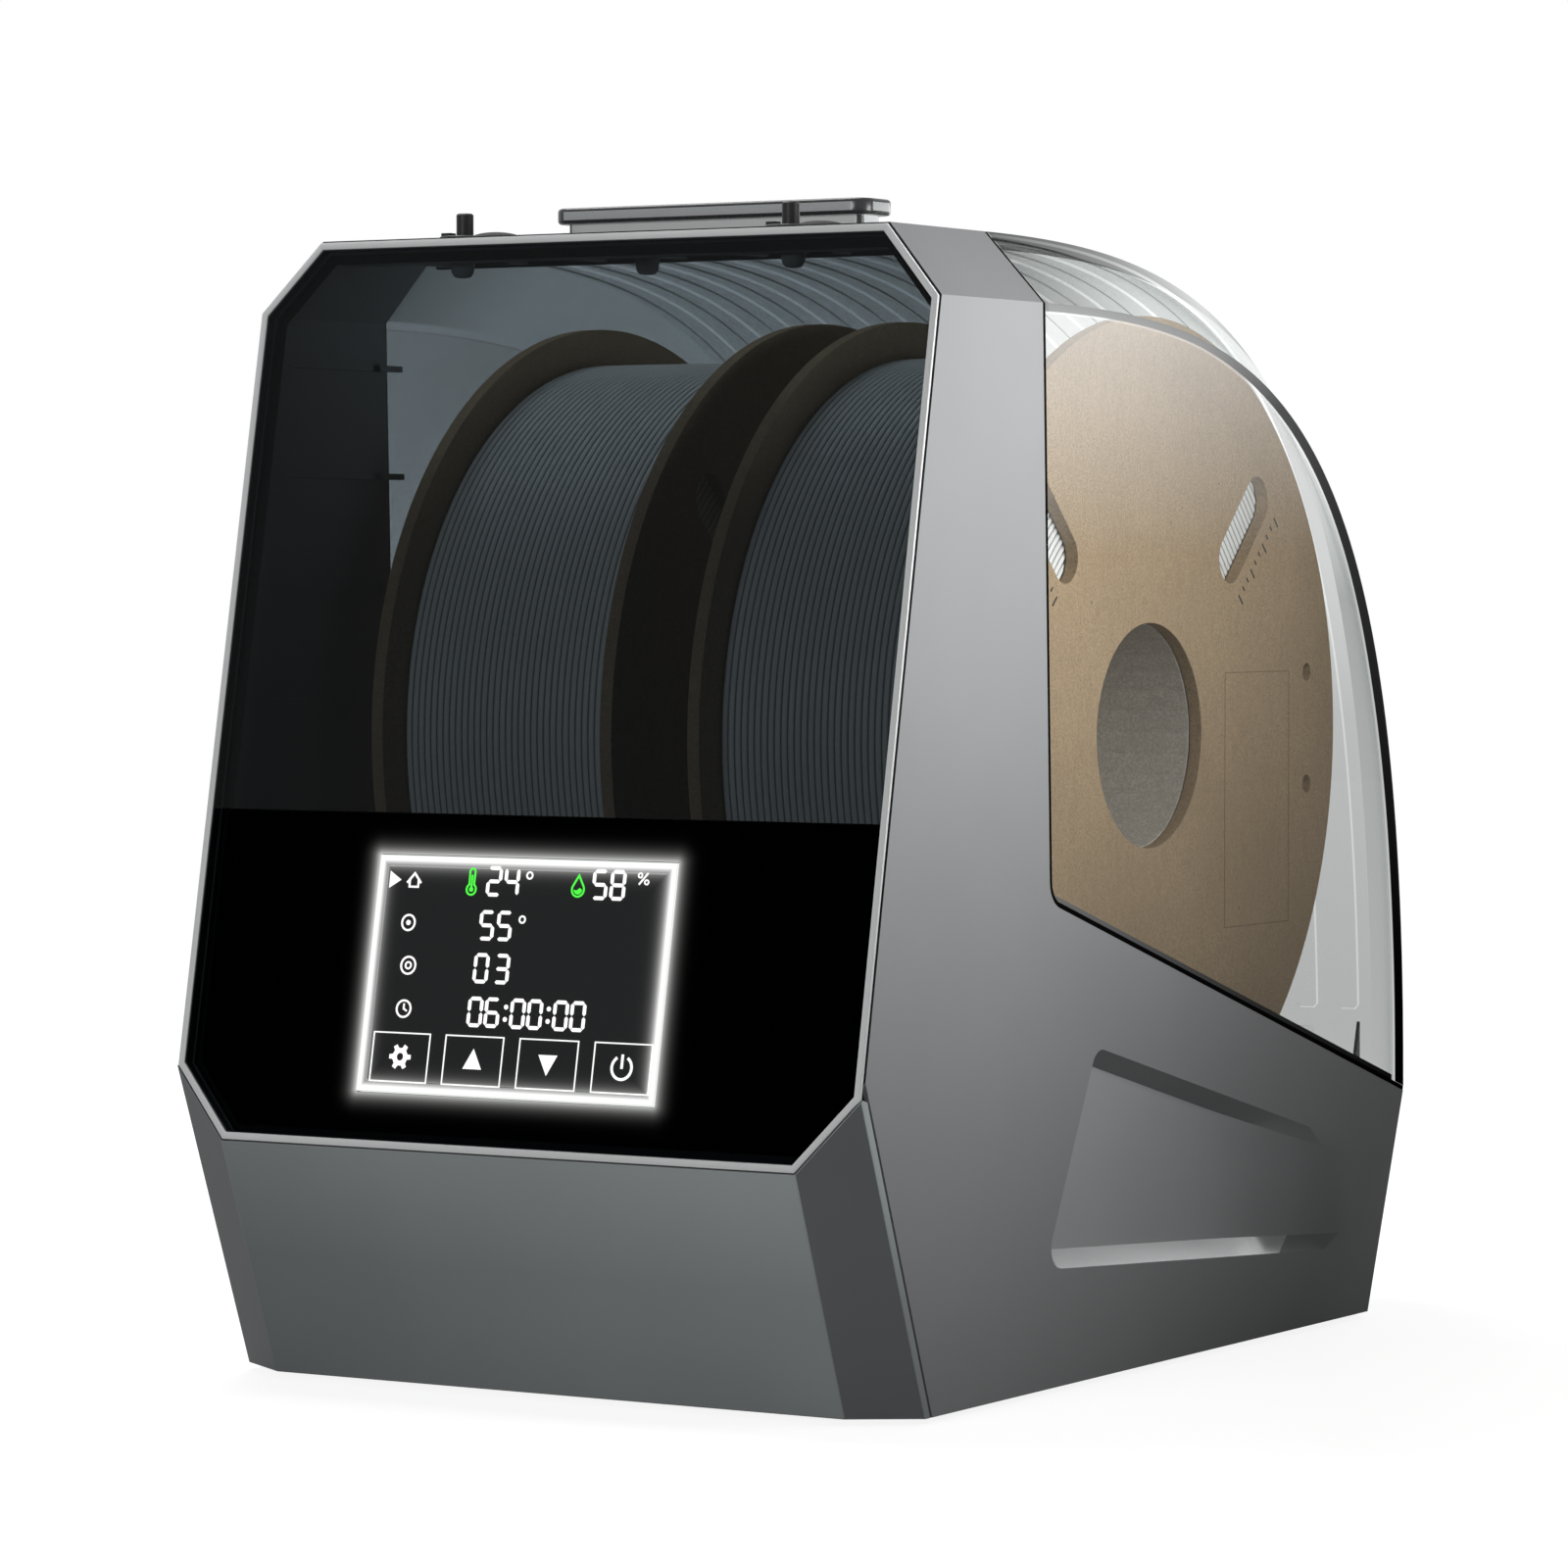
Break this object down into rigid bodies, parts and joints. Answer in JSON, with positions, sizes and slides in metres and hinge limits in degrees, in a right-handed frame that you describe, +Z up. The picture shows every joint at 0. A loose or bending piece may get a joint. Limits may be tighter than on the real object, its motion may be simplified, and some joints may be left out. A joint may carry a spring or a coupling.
{
  "type": "filament dryer box",
  "caption": "Heated box with a leaning smoked window, display, hinged clear cover and rollers, drying filament spools that feed out through the top.",
  "frame": {"origin": "on the floor under the middle of the box", "axes": "+X to the right seen from the front, +Y from the window to the hinge, +Z up"},
  "size_m": [0.1836, 0.297, 0.2741],
  "materials": {
    "gray_plastic": "fine satin moulded",
    "pale_plastic": "satin",
    "clear_plastic": "clear and glossy",
    "tinted_window": "smoked and glossy",
    "light_guide": "lit white",
    "white_plastic": "satin",
    "screen": "lit display",
    "circuit_board": "green solder mask",
    "steel": "turned",
    "heater_metal": "finned",
    "cardboard": "brown kraft board",
    "filament": "wound strand",
    "black_rubber": "soft matt",
    "black_plastic": "satin"
  },
  "bodies": {
    "base": {"base_hinge_leaf_left": "black_plastic", "base_hinge_leaf_right": "black_plastic", "base_plate": "black_plastic", "base_screw_front_left": "steel", "base_screw_front_right": "steel", "base_screw_rear_left": "steel", "base_screw_rear_right": "steel", "chamber_floor": "black_plastic", "chin_panel": "gray_plastic", "control_board": "circuit_board", "cover_gasket": "black_rubber", "display_board": "circuit_board", "display_housing": "black_plastic", "display_mask": "black_plastic", "display_panel": "screen", "fan_housing": "black_plastic", "foot_front_left": "black_rubber", "foot_front_right": "black_rubber", "foot_rear_left": "black_rubber", "foot_rear_right": "black_rubber", "front_bezel": "pale_plastic", "front_window": "tinted_window", "heater_core": "heater_metal", "heater_duct": "black_plastic", "hinge_pin_left": "steel", "hinge_pin_right": "steel", "humidity_sensor": "white_plastic", "light_guide": "light_guide", "main_shell": "gray_plastic", "mains_inlet": "black_plastic", "outlet_fitting_left": "black_plastic", "outlet_fitting_right": "black_plastic", "power_supply": "circuit_board", "roller_axle_front_left": "steel", "roller_axle_front_right": "steel", "roller_axle_rear_left": "steel", "roller_axle_rear_right": "steel", "roller_cradle_left": "black_plastic", "roller_cradle_right": "black_plastic"},
    "cover": {"clear_cover": "clear_plastic", "cover_handle": "clear_plastic", "cover_hinge_leaf_left": "black_plastic", "cover_hinge_leaf_right": "black_plastic"},
    "spool_left": {"spool_flange_outer_left": "cardboard", "spool_flange_inner_left": "cardboard", "spool_core_left": "cardboard", "filament_winding_left": "filament"},
    "roller_front_left": {"roller_front_left": "pale_plastic"},
    "roller_rear_left": {"roller_rear_left": "pale_plastic"},
    "plug_left": {"outlet_plug_left": "black_rubber"},
    "spool_right": {"spool_flange_outer_right": "cardboard", "spool_flange_inner_right": "cardboard", "spool_core_right": "cardboard", "filament_winding_right": "filament"},
    "roller_front_right": {"roller_front_right": "pale_plastic"},
    "roller_rear_right": {"roller_rear_right": "pale_plastic"},
    "plug_right": {"outlet_plug_right": "black_rubber"},
    "fan": {"fan_rotor": "black_plastic"}
  },
  "joints": [
    {"name": "cover_hinge", "type": "hinge", "parent": "base", "child": "cover", "pos_m": [0, 0.1451, 0.05252], "axis": [-1, 0, 0], "range_deg": [0, 85]},
    {"name": "spool_left_spin", "type": "hinge", "parent": "base", "child": "spool_left", "pos_m": [-0.04435, 0.0139, 0.1486], "axis": [1, 0, 0], "continuous": true},
    {"name": "roller_front_left_spin", "type": "hinge", "parent": "base", "child": "roller_front_left", "pos_m": [-0.04435, -0.04822, 0.05989], "axis": [1, 0, 0], "continuous": true},
    {"name": "roller_rear_left_spin", "type": "hinge", "parent": "base", "child": "roller_rear_left", "pos_m": [-0.04435, 0.07602, 0.05989], "axis": [1, 0, 0], "continuous": true},
    {"name": "spool_right_spin", "type": "hinge", "parent": "base", "child": "spool_right", "pos_m": [0.04435, 0.0139, 0.1486], "axis": [1, 0, 0], "continuous": true},
    {"name": "roller_front_right_spin", "type": "hinge", "parent": "base", "child": "roller_front_right", "pos_m": [0.04435, -0.04822, 0.05989], "axis": [1, 0, 0], "continuous": true},
    {"name": "roller_rear_right_spin", "type": "hinge", "parent": "base", "child": "roller_rear_right", "pos_m": [0.04435, 0.07602, 0.05989], "axis": [1, 0, 0], "continuous": true},
    {"name": "fan_spin", "type": "hinge", "parent": "base", "child": "fan", "pos_m": [0, 0.0139, 0.0115], "axis": [0, 0, 1], "continuous": true},
    {"name": "plug_left_pull", "type": "slide", "parent": "base", "child": "plug_left", "axis": [0, 0, 1], "range_m": [0, 0.02]},
    {"name": "plug_right_pull", "type": "slide", "parent": "base", "child": "plug_right", "axis": [0, 0, 1], "range_m": [0, 0.02]}
  ],
  "couplings": [
    {"joint": "roller_front_left_spin", "follows": "spool_left_spin", "ratio": -12.5},
    {"joint": "roller_rear_left_spin", "follows": "spool_left_spin", "ratio": -12.5},
    {"joint": "roller_front_right_spin", "follows": "spool_right_spin", "ratio": -12.5},
    {"joint": "roller_rear_right_spin", "follows": "spool_right_spin", "ratio": -12.5}
  ]
}
